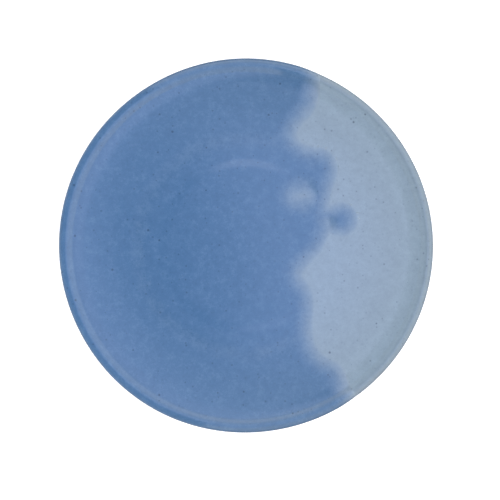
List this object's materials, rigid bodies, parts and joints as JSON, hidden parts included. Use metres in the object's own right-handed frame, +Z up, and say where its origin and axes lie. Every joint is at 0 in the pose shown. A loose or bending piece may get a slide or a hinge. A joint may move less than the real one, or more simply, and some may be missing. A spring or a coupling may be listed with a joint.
{
  "type": "stoneware plate",
  "caption": "Round hand-thrown stoneware plate with a shallow well, a rounded raised lip and a low foot ring, dipped in a pale and a darker blue glaze.",
  "frame": {"origin": "centre of the circle that the foot ring rests on, at the height of the table", "axes": "+Z up, out of the plate's face; +X towards the side with only the pale glaze"},
  "size_m": [0.2157, 0.216, 0.0161],
  "materials": {
    "fired_clay": "bare, matt, fine-grained with small iron specks",
    "pale_blue_glaze": "glossy, opaque, finely speckled",
    "mid_blue_glaze": "glossy, opaque, finely speckled, with a soft edge where it ends on the pale glaze"
  },
  "bodies": {
    "root": {"clay_body": "fired_clay", "foot_ring": "fired_clay", "base_glaze": "pale_blue_glaze", "second_glaze": "mid_blue_glaze"}
  },
  "joints": []
}
